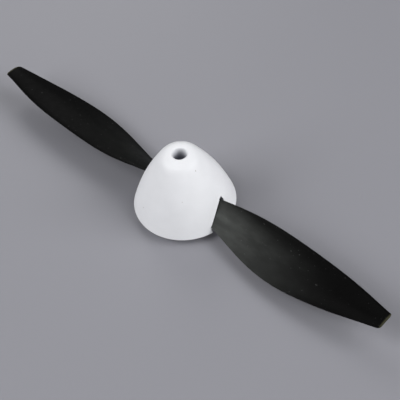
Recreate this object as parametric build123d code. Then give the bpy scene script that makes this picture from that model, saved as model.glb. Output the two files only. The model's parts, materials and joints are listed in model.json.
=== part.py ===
from build123d import *
import os
from math import atan2, cos, hypot, sin, sqrt

# Two-blade tractor propeller with a slotted spinner, for a small electric model aeroplane.
# Frame: millimetres, +Z along the shaft axis towards the spinner's nose, +X along one blade.
# The origin is on the shaft axis, at the back of the adapter's flange, which the part stands on.
# The blades turn from +X towards +Y when they pull towards +Z.
# Heights in this file are measured from the spinner's rim, and main() lifts every part by STAND.

# ---- driving dimensions -------------------------------------------------------------------

PROP_RADIUS = 73.5
SPINNER_RADIUS = 15.0
SPINNER_WALL = 1.2
NOSE_TOP = 20.6

# Blade sections: radius, leading edge (y, z), trailing edge (y, z), thickness.
BLADE_SECTIONS = [
    (4.0, (2.6, 5.3), (-2.6, 1.9), 1.3),
    (13.5, (3.3, 6.7), (-3.5, 1.6), 1.25),
    (24.0, (5.5, 6.35), (-5.9, 0.95), 1.3),
    (37.0, (6.2, 6.25), (-7.9, 1.35), 1.3),
    (50.0, (5.8, 6.15), (-7.25, 2.7), 1.15),
    (62.0, (4.6, 6.3), (-5.3, 4.4), 1.0),
    (75.0, (2.4, 6.9), (-2.3, 6.5), 0.8),
]
CHORD_SHARES = (0.0, 0.04, 0.16, 0.4, 0.7, 1.0)
CAMBER_SHARE = 0.035
EDGE_THICKNESS = 0.4
TIP_HALF_CHORD = 2.75
TIP_TAPER = 0.21
TIP_CORNER = 1.2

# Hub of the propeller moulding.
HUB_RADIUS = 5.5
HUB_FRONT = 8.2
SHOULDER = 3.4
HEX_PLAY = 0.1

# Shaft adapter: flange behind the backplate, collar, hexagon, tapped boss in front.
SHAFT_RADIUS = 1.5
SHAFT_DEPTH = 5.2
FLANGE_RADIUS = 6.4
FLANGE = 0.5
STAND = 2.2
COLLAR_RADIUS = 4.0
COLLAR_PLAY = 0.15
HEX_ACROSS_FLATS = 5.5
HEX_TOP = 7.9
BOSS_RADIUS = 1.7
BOSS_TOP = 10.2
BREAK = 0.25
GRUB_HEIGHT = 2.1
GRUB_OUTER = 3.8
GRUB_KEY = 0.9

# Retaining screw, M2 x 8, and its washers.
THREAD_RADIUS = 1.0
THREAD_PITCH = 0.4
THREAD_DEPTH = 0.2
THREAD_PLAY = 0.05
SCREW_LENGTH = 8.0
HEAD_RADIUS = 1.7
HEAD_HEIGHT = 1.3
WASHER_RADIUS = 1.75
FLAT_WASHER = 0.3
LOCK_WASHER = 0.5
SCREW_SEAT = 12.6

# Inside of the spinner cone.
NOSE_BORE = 2.1
NOSE_LIP = 0.5
HEAD_BORE = 1.82
HEAD_BORE_TOP = 15.2
SLEEVE_RADIUS = 3.2
SLEEVE_PLAY = 0.1
RIB_THICKNESS = 1.0
RIB_BOTTOM = 9.4
RIBS = 4
SLOT_GAP = 0.22
SLOT_RISE = 0.75
SLOT_SIDES = (0.25, 0.4)

# Backplate, clamped between the adapter's flange and the hub.
PLATE = 1.1
PLATE_SEAT = 13.9
PLATE_PLAY = 0.15

BIG = 40.0


def half_turn(shape):
    """The same shape on the other blade's side."""
    return Rotation(0, 0, 180) * shape


def rod(radius, low, high):
    """A cylinder about the shaft axis from one height to another."""
    return Pos(0, 0, (low + high) / 2) * Cylinder(radius, high - low)


def hexagon(across_flats, low, high):
    """A hexagonal prism about the shaft axis, with two flats facing +X and -X."""
    face = RegularPolygon(across_flats / 2, 6, major_radius=False, rotation=30)
    return Pos(0, 0, low) * extrude(face, high - low)


# ---- blades -------------------------------------------------------------------------------


def half_thickness(share, thickness):
    """Half the section's thickness at a share of the chord from the leading edge."""
    s = share
    shape = 2.969 * sqrt(s) - 1.26 * s - 3.516 * s**2 + 2.843 * s**3 - 1.036 * s**4
    return shape * (thickness - EDGE_THICKNESS / 2) / 2 + s * EDGE_THICKNESS / 2


def section_side(section, side):
    """Points of the front (side +1) or back (side -1) surface, leading edge first, as (y, z)."""
    _, lead, trail, thickness = section
    chord = hypot(trail[0] - lead[0], trail[1] - lead[1])
    along = ((trail[0] - lead[0]) / chord, (trail[1] - lead[1]) / chord)
    across = (along[1], -along[0])
    points = []
    for share in CHORD_SHARES:
        camber = 4 * CAMBER_SHARE * chord * share * (1 - share)
        rise = camber + side * half_thickness(share, thickness)
        points.append(
            (
                lead[0] + along[0] * chord * share + across[0] * rise,
                lead[1] + along[1] * chord * share + across[1] * rise,
            )
        )
    return points


def section_face(section):
    """A blade section: a cambered aerofoil with a round nose and a blunt trailing edge."""
    radius, lead, trail, _ = section
    front = [(radius, y, z) for y, z in section_side(section, 1)]
    back = [(radius, y, z) for y, z in section_side(section, -1)]
    angle = atan2(trail[1] - lead[1], trail[0] - lead[0])
    forward = (0, sin(angle), -cos(angle))
    chordwise = (0, cos(angle), sin(angle))
    backward = (0, -sin(angle), cos(angle))
    front_edge = Spline(*front, tangents=[forward, chordwise], tangent_scalars=[0.6, 1.0])
    back_edge = Spline(*back, tangents=[backward, chordwise], tangent_scalars=[0.6, 1.0])
    blunt_edge = Line(front[-1], back[-1])
    return make_face([front_edge, blunt_edge, back_edge])


def tip_outline():
    """Everything inside the blade's square, round-cornered tip, seen along the shaft axis."""
    run = PROP_RADIUS - 52.0
    wide = TIP_HALF_CHORD + TIP_TAPER * run
    outline = Polyline(
        (0, -BIG),
        (PROP_RADIUS - run, -BIG),
        (PROP_RADIUS - run, -wide),
        (PROP_RADIUS, -TIP_HALF_CHORD),
        (PROP_RADIUS, TIP_HALF_CHORD),
        (PROP_RADIUS - run, wide),
        (PROP_RADIUS - run, BIG),
        (0, BIG),
        close=True,
    )
    face = make_face(outline)
    corners = face.vertices().group_by(Axis.X)[-1]
    return extrude(fillet(corners, TIP_CORNER), NOSE_TOP)


def blade():
    """One blade, from inside the hub to the tip."""
    body = loft([section_face(section) for section in BLADE_SECTIONS])
    return body & tip_outline()


def propeller():
    """The black moulding: two blades and a hub with a hexagon socket, open at both ends."""
    one = blade()
    hub = rod(HUB_RADIUS, PLATE, HUB_FRONT)
    hub = chamfer(hub.edges().filter_by(GeomType.CIRCLE), BREAK)
    body = hub + one + half_turn(one)
    body -= rod(COLLAR_RADIUS + COLLAR_PLAY, 0, SHOULDER)
    body -= hexagon(HEX_ACROSS_FLATS + 2 * HEX_PLAY, SHOULDER - PLATE, HUB_FRONT + PLATE)
    return body


# ---- spinner ------------------------------------------------------------------------------


def turned(*edges):
    """The solid turned about the shaft axis from edges drawn as (radius, height)."""
    return revolve(Plane.XZ * make_face([*edges]), Axis.Z)


def cone_wall(inset):
    """The cone's side from the rim to the nose, moved inwards by inset."""
    points = [(SPINNER_RADIUS, 0), (13.3, 5.0), (11.55, 9.2), (9.45, 13.3), (7.4, 16.8)]
    return Spline(*[(r - inset, z) for r, z in points])


def cone_blank():
    """The solid outer shape of the spinner: ogive side, domed nose, round lip at the bore."""
    side = cone_wall(0)
    lip_start = (NOSE_BORE + NOSE_LIP, NOSE_TOP)
    lip_end = (NOSE_BORE, NOSE_TOP - NOSE_LIP)
    nose = Spline(side @ 1, lip_start, tangents=[side % 1, (-1, 0)])
    lip = TangentArc(lip_start, lip_end, tangent=(-1, 0))
    rest = Polyline(lip_end, (NOSE_BORE, HEAD_BORE_TOP), (0, HEAD_BORE_TOP), (0, 0), side @ 0)
    return turned(side, nose, lip, rest)


def cone_hollow():
    """The space inside the cone's wall, from the backplate up to the solid nose."""
    side = cone_wall(SPINNER_WALL)
    rest = Polyline(side @ 1, (0, (side @ 1).Y), (0, 0), side @ 0)
    return turned(side, rest) + rod(PLATE_SEAT, 0, PLATE)


def cone_inside():
    """What stands in the hollow: the screw sleeve and the ribs that hold it."""
    sleeve = rod(SLEEVE_RADIUS, HUB_FRONT, NOSE_TOP)
    rib_length = SPINNER_RADIUS
    rib = Pos(rib_length / 2, 0, (RIB_BOTTOM + NOSE_TOP) / 2) * Box(
        rib_length, RIB_THICKNESS, NOSE_TOP - RIB_BOTTOM
    )
    inside = sleeve
    for i in range(RIBS):
        inside += Rotation(0, 0, 45 + i * 360 / RIBS) * rib
    return inside


def blade_slot():
    """Cutter for the slot over one blade, open to the rim.

    Its top follows the blade's front surface, with a gap that widens to the leading edge.
    """
    at_wall = BLADE_SECTIONS[1]
    x = SLEEVE_RADIUS + BREAK
    front = []
    for share, (y, z) in zip(CHORD_SHARES, section_side(at_wall, 1)):
        front.append((x, y, z + SLOT_GAP + SLOT_RISE * (1 - share) ** 2))
    lead_height = at_wall[1][1]
    near = front[-1][1] - SLOT_SIDES[0]
    far = front[0][1] + SLOT_SIDES[1]
    rest = Polyline(
        front[-1],
        (x, near, front[-1][2]),
        (x, near, -PLATE),
        (x, far, -PLATE),
        (x, far, lead_height),
        front[0],
    )
    return extrude(make_face([Spline(*front), rest]), SPINNER_RADIUS, dir=(1, 0, 0))


def screw_way():
    """The stepped hole down the sleeve: head bore, screw hole, then room for the boss."""
    way = rod(HEAD_BORE, SCREW_SEAT, HEAD_BORE_TOP)
    way += rod(THREAD_RADIUS + SLEEVE_PLAY, BOSS_TOP, SCREW_SEAT)
    way += rod(BOSS_RADIUS + SLEEVE_PLAY, HUB_FRONT - PLATE, BOSS_TOP + SLEEVE_PLAY)
    return way


def spinner_cone():
    """The white cone: a thin wall with two blade slots, and a screw sleeve held by ribs."""
    blank = cone_blank()
    slot = blade_slot()
    body = blank - cone_hollow() + (blank & cone_inside())
    return body - slot - half_turn(slot) - screw_way()


def spinner_backplate():
    """The white disc that closes the cone's rim, recessed behind for the adapter's flange."""
    disc = rod(PLATE_SEAT - PLATE_PLAY, 0, PLATE)
    disc -= rod(COLLAR_RADIUS + COLLAR_PLAY, 0, PLATE)
    return disc - rod(FLANGE_RADIUS + COLLAR_PLAY, 0, FLANGE)


# ---- fasteners ----------------------------------------------------------------------------


def cross_recess(size, depth):
    """A cross recess that opens upwards at z 0, deepest in the middle."""
    half = [(0, -depth), (size * 0.75, -depth * 0.6), (size, depth)]
    outline = Polyline(*half, *[(-x, z) for x, z in reversed(half[1:])], close=True)
    wing = extrude(Plane.XZ * make_face(outline), size * 0.25, both=True)
    return wing + Rotation(0, 0, 90) * wing


def threaded_shank(radius, length, point):
    """A shank from z 0 down, with ring grooves at the thread's pitch and a chamfered end."""
    core = radius - THREAD_DEPTH
    turns = int((length - point) / THREAD_PITCH)
    outline = [(0, 0), (radius, 0)]
    for i in range(turns):
        z = -i * THREAD_PITCH
        outline += [(radius, z - 0.1), (core, z - 0.2), (core, z - 0.25), (radius, z - 0.35)]
    outline += [(radius, -turns * THREAD_PITCH), (core * 0.6, -length), (0, -length)]
    return turned(Polyline(*outline, close=True))


def retaining_screw():
    """M2 pan-head screw, head up, with its head resting on the washers."""
    under_head = SCREW_SEAT + FLAT_WASHER + LOCK_WASHER
    head = Cylinder(HEAD_RADIUS, HEAD_HEIGHT, align=(Align.CENTER, Align.CENTER, Align.MIN))
    head = fillet(head.edges().group_by(Axis.Z)[-1], HEAD_HEIGHT * 0.45)
    head -= Pos(0, 0, HEAD_HEIGHT) * cross_recess(0.95, 0.85)
    body = head + threaded_shank(THREAD_RADIUS, SCREW_LENGTH, THREAD_PITCH)
    return Pos(0, 0, under_head) * body


def flat_washer():
    """Plain washer on the seat in the sleeve."""
    ring = rod(WASHER_RADIUS, SCREW_SEAT, SCREW_SEAT + FLAT_WASHER)
    return ring - rod(THREAD_RADIUS + THREAD_PLAY, SCREW_SEAT - 1, SCREW_SEAT + 1)


def lock_washer():
    """Split spring washer under the screw's head, drawn flat as it is when tight."""
    low = SCREW_SEAT + FLAT_WASHER
    ring = rod(HEAD_RADIUS, low, low + LOCK_WASHER)
    ring -= rod(THREAD_RADIUS + THREAD_PLAY, low - 1, low + 1)
    split = Rotation(25, 0, 0) * Box(WASHER_RADIUS * 2, BREAK, LOCK_WASHER * 4)
    return ring - Pos(WASHER_RADIUS, 0, low + LOCK_WASHER / 2) * split


# ---- shaft adapter ------------------------------------------------------------------------


def grub_axis(side):
    """Places a shape whose +Z is outwards on one grub screw's axis."""
    return Pos(0, 0, GRUB_HEIGHT) * Rotation(-90 * side, 0, 0)


def shaft_adapter():
    """Brass adapter: flange, collar with two tapped holes, drive hexagon, boss, blind bore."""
    collar = rod(COLLAR_RADIUS, 0, SHOULDER)
    collar = chamfer(collar.edges().group_by(Axis.Z)[-1], BREAK)
    flange = rod(FLANGE_RADIUS, -STAND, FLANGE)
    flange = chamfer(flange.edges().group_by(Axis.Z)[0], BREAK)
    boss = rod(BOSS_RADIUS, HEX_TOP, BOSS_TOP)
    boss = chamfer(boss.edges().group_by(Axis.Z)[-1], BREAK)
    body = flange + collar + hexagon(HEX_ACROSS_FLATS, SHOULDER, HEX_TOP) + boss
    body -= rod(SHAFT_RADIUS, -STAND - PLATE, SHAFT_DEPTH)
    body -= rod(THREAD_RADIUS + THREAD_PLAY, SHAFT_DEPTH, BOSS_TOP + PLATE)
    for side in (-1, 1):
        body -= grub_axis(side) * rod(THREAD_RADIUS + THREAD_PLAY / 2, 0, BIG / 4)
    return body


def grub_screws():
    """Two M2 grub screws that bear on the shaft, with hexagon sockets outwards."""
    shank = Pos(0, 0, GRUB_OUTER) * threaded_shank(
        THREAD_RADIUS, GRUB_OUTER - SHAFT_RADIUS - THREAD_PLAY, 0.5
    )
    shank -= hexagon(GRUB_KEY, GRUB_OUTER - 1.0, GRUB_OUTER + 1.0)
    return [grub_axis(side) * shank for side in (-1, 1)]


# ---- export -------------------------------------------------------------------------------

PARTS = {
    "propeller": propeller,
    "spinner_cone": spinner_cone,
    "spinner_backplate": spinner_backplate,
    "shaft_adapter": shaft_adapter,
    "grub_screws": grub_screws,
    "retaining_screw": retaining_screw,
    "flat_washer": flat_washer,
    "lock_washer": lock_washer,
}


def main():
    os.makedirs("parts", exist_ok=True)
    for name, make in PARTS.items():
        made = make()
        solids = made if isinstance(made, list) else [made]
        lifted = [Pos(0, 0, STAND) * solid for solid in solids]
        shape = Compound(children=lifted) if len(lifted) > 1 else lifted[0]
        export_step(shape, f"parts/{name}.step")


main()
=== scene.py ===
import json
import math

import bpy
from mathutils import Matrix, Vector


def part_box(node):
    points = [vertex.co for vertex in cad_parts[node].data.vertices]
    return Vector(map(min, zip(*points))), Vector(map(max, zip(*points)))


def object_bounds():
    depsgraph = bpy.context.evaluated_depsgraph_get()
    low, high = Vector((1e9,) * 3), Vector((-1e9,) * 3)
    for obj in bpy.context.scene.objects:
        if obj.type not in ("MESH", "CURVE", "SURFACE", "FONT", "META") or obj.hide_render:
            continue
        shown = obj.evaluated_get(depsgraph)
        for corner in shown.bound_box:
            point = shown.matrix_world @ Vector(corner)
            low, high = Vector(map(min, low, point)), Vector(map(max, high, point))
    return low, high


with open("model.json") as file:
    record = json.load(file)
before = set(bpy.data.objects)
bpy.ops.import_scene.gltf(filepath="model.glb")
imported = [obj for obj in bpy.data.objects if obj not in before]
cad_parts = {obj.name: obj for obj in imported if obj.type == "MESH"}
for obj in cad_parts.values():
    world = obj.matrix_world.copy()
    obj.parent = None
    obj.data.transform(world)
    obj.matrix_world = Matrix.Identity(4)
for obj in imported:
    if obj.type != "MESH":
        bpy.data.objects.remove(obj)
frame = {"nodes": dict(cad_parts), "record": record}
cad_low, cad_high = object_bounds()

# A two-blade model propeller with a slotted spinner, standing on a pale table.
# Metres, in the CAD frame: +Z to the nose, +X along the near blade.

nodes = frame["nodes"]
cone_low, cone_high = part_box("spinner_cone")
_, propeller_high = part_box("propeller")
reach = propeller_high.x
half_width = propeller_high.y
mounts = {mount["name"]: mount for mount in frame["record"]["mounts"]}
bore_radius = mounts["driver_hole"]["dims"]["r_mm"] / 1000

# ---- camera -------------------------------------------------------------------------------

# Radians: round from the -Y side towards +X, up from the table, and the camera's own turn,
# anticlockwise as seen from behind it.
AZIMUTH = 0.8297
ELEVATION = 0.8848
ROLL = -0.1088
# Metres: how far the middle of the spinner's rim is in front of the camera, and how far it is
# to the right of the picture's middle and above it.
DISTANCE = 0.40316
RIM_RIGHT = -0.00435
RIM_ABOVE = 0.00014
CLIP_START = 0.01
LENS_MM = 124.1
SENSOR_MM = 36.0


def make_camera():
    """A long lens looking down on the propeller from between the near blade and the -Y side."""
    back = Vector((
        math.sin(AZIMUTH) * math.cos(ELEVATION),
        -math.cos(AZIMUTH) * math.cos(ELEVATION),
        math.sin(ELEVATION),
    ))
    level = Vector((math.cos(AZIMUTH), math.sin(AZIMUTH), 0))
    over = back.cross(level)
    right = math.cos(ROLL) * level + math.sin(ROLL) * over
    up = math.cos(ROLL) * over - math.sin(ROLL) * level
    data = bpy.data.cameras.new("camera")
    data.lens = LENS_MM
    data.sensor_width = SENSOR_MM
    data.clip_start = CLIP_START
    camera = bpy.data.objects.new("camera", data)
    bpy.context.collection.objects.link(camera)
    aim = Vector((0, 0, cone_low.z))
    place = aim + back * DISTANCE - right * RIM_RIGHT - up * RIM_ABOVE
    turn = Matrix((right, up, back)).transposed().to_4x4()
    camera.matrix_world = Matrix.Translation(place) @ turn
    bpy.context.scene.camera = camera


# ---- light --------------------------------------------------------------------------------

WORLD_COLOUR = (0.96, 0.97, 1.0, 1.0)
WORLD_STRENGTH = 0.03
# Metres: from the origin to each lamp, and the side of a lamp.
LAMP_DISTANCE = 0.9
LAMP_SIZE = 0.4
# name: (degrees round from +X towards +Y, degrees above the table, watts)
LAMPS = {
    "right_low": (8, 12, 1.0),
    "right_front": (8, 34, 2.5),
    "right_back": (38, 34, 3.0),
    "right_high": (56, 55, 1.0),
    "back": (144, 34, 1.5),
    "left_back": (218, 34, 2.0),
    "left_front": (248, 34, 3.0),
    "left_high": (232, 55, 1.5),
    "front_low": (330, 12, 1.0),
}


def make_lamps():
    """Soft square lamps all round the table, strongest to the right and the left."""
    for name, (round_by, above, watts) in LAMPS.items():
        data = bpy.data.lights.new(name, "AREA")
        data.shape = "SQUARE"
        data.size = LAMP_SIZE
        data.energy = watts
        lamp = bpy.data.objects.new(name, data)
        bpy.context.collection.objects.link(lamp)
        turn = math.radians(round_by)
        rise = math.radians(above)
        level = Vector((math.cos(turn), math.sin(turn), 0)) * math.cos(rise)
        place = (level + Vector((0, 0, math.sin(rise)))) * LAMP_DISTANCE
        aim = place.to_track_quat("Z", "Y").to_matrix().to_4x4()
        lamp.matrix_world = Matrix.Translation(place) @ aim


def make_world():
    """A dim even world, so that the lamps do nearly all of the lighting."""
    world = bpy.data.worlds.new("world")
    world.use_nodes = True
    background = world.node_tree.nodes["Background"]
    background.inputs["Color"].default_value = WORLD_COLOUR
    background.inputs["Strength"].default_value = WORLD_STRENGTH
    bpy.context.scene.world = world


# ---- material building --------------------------------------------------------------------

# A mix node's colour sockets share their names with its number ones, so they go by place.
MIX_FACTOR = 0
MIX_FIRST = 6
MIX_SECOND = 7
MIX_RESULT = 2


class Mix:
    """A material's node tree, with short calls for the nodes used here."""

    def __init__(self, name, specular=None, metallic=0.0):
        self.material = bpy.data.materials.new(name)
        self.material.use_nodes = True
        self.tree = self.material.node_tree
        self.shader = self.tree.nodes["Principled BSDF"]
        self.shader.inputs["Metallic"].default_value = metallic
        if specular is not None:
            self.shader.inputs["Specular IOR Level"].default_value = specular
        self.place = self.add("ShaderNodeTexCoord").outputs["Object"]

    def add(self, kind, **settings):
        """A new node with these settings."""
        node = self.tree.nodes.new(kind)
        for key, value in settings.items():
            setattr(node, key, value)
        return node

    def put(self, value, socket):
        """Links a socket, or sets a plain value."""
        if isinstance(value, bpy.types.NodeSocket):
            self.tree.links.new(value, socket)
        else:
            socket.default_value = value

    def noise(self, per_metre, detail, squeeze=(1, 1, 1)):
        """Noise with this many grains to the metre, times its axis's share of squeeze."""
        scaled = self.add("ShaderNodeMapping")
        self.put(self.place, scaled.inputs["Vector"])
        scaled.inputs["Scale"].default_value = squeeze
        node = self.add("ShaderNodeTexNoise")
        self.put(scaled.outputs["Vector"], node.inputs["Vector"])
        node.inputs["Scale"].default_value = per_metre
        node.inputs["Detail"].default_value = detail
        return node.outputs["Fac"]

    def ramp(self, factor, low_stop, high_stop):
        """A colour ramp between two (place, colour) stops."""
        node = self.add("ShaderNodeValToRGB")
        self.put(factor, node.inputs["Fac"])
        for point, (where, colour) in zip(node.color_ramp.elements, (low_stop, high_stop)):
            point.position = where
            point.color = colour
        return node.outputs["Color"]

    def blend(self, factor, first, second):
        """Mixes two colours."""
        node = self.add("ShaderNodeMix", data_type="RGBA")
        self.put(factor, node.inputs[MIX_FACTOR])
        self.put(first, node.inputs[MIX_FIRST])
        self.put(second, node.inputs[MIX_SECOND])
        return node.outputs[MIX_RESULT]

    def math(self, operation, first, second=0.0):
        """One step of arithmetic on one or two numbers."""
        node = self.add("ShaderNodeMath", operation=operation)
        self.put(first, node.inputs[0])
        self.put(second, node.inputs[1])
        return node.outputs[0]

    def times(self, first, second):
        """One number multiplied by another."""
        return self.math("MULTIPLY", first, second)

    def span(self, value, low, high, to_low=0.0, to_high=1.0):
        """Maps a value from one range to another, held at the ends."""
        node = self.add("ShaderNodeMapRange")
        node.inputs["From Min"].default_value = low
        node.inputs["From Max"].default_value = high
        node.inputs["To Min"].default_value = to_low
        node.inputs["To Max"].default_value = to_high
        self.put(value, node.inputs["Value"])
        return node.outputs["Result"]

    def axis(self, letter):
        """One of the object coordinates."""
        node = self.add("ShaderNodeSeparateXYZ")
        self.put(self.place, node.inputs[0])
        return node.outputs[letter]

    def bump(self, height, depth, strength):
        """Surface relief, depth metres high."""
        node = self.add("ShaderNodeBump")
        node.inputs["Strength"].default_value = strength
        node.inputs["Distance"].default_value = depth
        self.put(height, node.inputs["Height"])
        self.put(node.outputs["Normal"], self.shader.inputs["Normal"])

    def base(self, colour, roughness):
        """Sets the surface's colour and roughness."""
        self.put(colour, self.shader.inputs["Base Color"])
        self.put(roughness, self.shader.inputs["Roughness"])


def shade(value, tint=(1.0, 1.0, 1.0)):
    """A tint multiplied by a value, as RGBA."""
    return tuple(value * part for part in tint) + (1.0,)


# ---- materials ----------------------------------------------------------------------------

FLOOR_COLOUR = (0.26, 0.26, 0.287)
COOL = (0.985, 0.995, 1.03)
BLUE_GREY = (0.9, 0.94, 1.25)
OLIVE = (1.0, 0.98, 0.55)
# Metres below the nose: where the painted shade in its hole starts, and from where it is darkest.
HOLE_SHADE_START = 0.0008
HOLE_SHADE_FULL = 0.0040
# Metres outside the hole's wall: there is no painted shade beyond the first, and all of it inside the
# second.
HOLE_SHADE_EDGE = 0.0003
HOLE_SHADE_ALL = 0.0001
# Shares of the propeller's reach: the painted sheen and haze is full inside the first and ends at
# the second, and outside the third the near blade has all of its own.
SHEEN_HAZE_FULL = 0.16
SHEEN_HAZE_END = 0.8
SHEEN_HAZE_NEAR = 0.1
# Shares of the propeller's half width, towards the leading edge: the painted sheen and haze is least
# beyond the first, and most behind the second.
SHEEN_HAZE_LEAST = 0.55
SHEEN_HAZE_MOST = -0.05
# Metres in from the tip: where its pale edge starts, and where it is full.
TIP_START = 0.0005
TIP_FULL = 0.0002


def white_plastic():
    """Satin moulded white plastic: faint flow clouds, fine orange peel, a few dirt specks, and painted
    shade down the nose hole.
    """
    look = Mix("white_plastic", specular=0.4)
    colour = look.ramp(look.noise(160, 4), (0.3, shade(0.77, COOL)), (0.7, shade(0.81, COOL)))
    specks = look.span(look.noise(900, 1), 0.785, 0.81)
    colour = look.blend(specks, colour, shade(0.45, (1, 0.96, 0.9)))
    # Painted shade in the nose hole: a dark blue-grey that deepens further down.
    x = look.axis("X")
    y = look.axis("Y")
    off_axis = look.math("SQRT", look.math("ADD", look.times(x, x), look.times(y, y)))
    in_bore = look.span(off_axis, bore_radius + HOLE_SHADE_EDGE, bore_radius + HOLE_SHADE_ALL)
    deep = look.span(look.axis("Z"), cone_high.z - HOLE_SHADE_START, cone_high.z - HOLE_SHADE_FULL)
    painted_shade = look.times(look.times(in_bore, deep), 0.75)
    colour = look.blend(painted_shade, colour, shade(0.16, BLUE_GREY))
    look.base(colour, look.span(look.noise(450, 2), 0.3, 0.7, 0.40, 0.50))
    look.bump(look.noise(2500, 2), 0.00001, 0.25)
    return look.material


def black_plastic():
    """Satin black glass-filled nylon: fine grain, a painted sheen with some rubbed haze near the roots,
    pale tip edges.
    """
    look = Mix("black_plastic", specular=0.05)
    x = look.axis("X")
    out = look.math("ABSOLUTE", x)
    grain = look.noise(3000, 2)
    colour = look.ramp(grain, (0.3, shade(0.0012)), (0.7, shade(0.0022, (1, 1.02, 1))))
    # Painted sheen, with some rubbed haze in it: it fades from root to tip, is stronger on the near
    # blade, and is faint at the leading edge.
    streaks = look.span(look.noise(420, 5, (0.4, 1.0, 1.0)), 0.35, 0.65, 0.7, 1.05)
    root = look.math("POWER", look.span(out, reach * SHEEN_HAZE_END, reach * SHEEN_HAZE_FULL), 2.0)
    near_blade = look.span(x, 0.0, reach * SHEEN_HAZE_NEAR, 0.25, 1.0)
    forward = look.times(look.math("SIGN", x), look.axis("Y"))
    behind_lead = look.span(forward, half_width * SHEEN_HAZE_LEAST, half_width * SHEEN_HAZE_MOST, 0.12, 1.0)
    sheen_and_haze = look.times(look.times(look.times(streaks, root), near_blade), behind_lead)
    colour = look.blend(sheen_and_haze, colour, shade(0.078, (0.98, 1.04, 0.99)))
    scuffs = look.span(look.noise(1300, 2), 0.70, 0.76)
    colour = look.blend(look.times(scuffs, 0.35), colour, shade(0.12))
    tip = look.span(out, reach - TIP_START, reach - TIP_FULL)
    colour = look.blend(look.times(tip, 0.4), colour, shade(0.10, OLIVE))
    look.base(colour, look.span(look.noise(500, 4), 0.3, 0.7, 0.42, 0.52))
    look.bump(grain, 0.00002, 0.35)
    return look.material


def brass():
    """Turned brass: fine bands from the lathe and a little tarnish."""
    look = Mix("brass", metallic=1.0)
    tarnish = look.noise(600, 4)
    dull = (0.60, 0.43, 0.18, 1)
    bright = (0.80, 0.62, 0.30, 1)
    look.base(look.ramp(tarnish, (0.35, dull), (0.7, bright)), look.span(tarnish, 0.3, 0.7, 0.38, 0.25))
    look.bump(look.noise(4000, 1, (0.2, 0.2, 3.0)), 0.00001, 0.3)
    return look.material


def steel():
    """Zinc-plated steel: cool grey with blotches and fine scratches."""
    look = Mix("steel", metallic=1.0)
    blotches = look.noise(900, 4)
    dull = (0.42, 0.43, 0.45, 1)
    bright = (0.60, 0.61, 0.62, 1)
    look.base(look.ramp(blotches, (0.3, dull), (0.7, bright)), look.span(blotches, 0.3, 0.7, 0.42, 0.30))
    look.bump(look.noise(6000, 2, (1.0, 4.0, 1.0)), 0.000008, 0.3)
    return look.material


def table_top():
    """Pale grey satin table with very faint clouds."""
    look = Mix("table_top", specular=0.3)
    low = shade(0.985, FLOOR_COLOUR)
    high = shade(1.015, FLOOR_COLOUR)
    look.base(look.ramp(look.noise(6, 3), (0.35, low), (0.65, high)), 0.42)
    return look.material


# ---- pieces -------------------------------------------------------------------------------

# Metres.
FLOOR_SIZE = 6.0


def paint(names, material):
    """Gives CAD nodes one material."""
    for name in names:
        mesh = nodes[name].data
        mesh.materials.clear()
        mesh.materials.append(material)


def make_floor():
    """The table, at the height of the adapter's back face."""
    bpy.ops.mesh.primitive_plane_add(size=FLOOR_SIZE, location=(0, 0, cad_low.z))
    floor = bpy.context.object
    floor.name = "floor"
    floor.data.materials.append(table_top())


make_camera()
make_lamps()
make_world()
make_floor()
paint(["spinner_cone", "spinner_backplate"], white_plastic())
paint(["propeller"], black_plastic())
paint(["shaft_adapter"], brass())
paint(["grub_screws", "retaining_screw", "flat_washer", "lock_washer"], steel())

view = bpy.context.scene.view_settings
view.view_transform = "Standard"
view.look = "None"
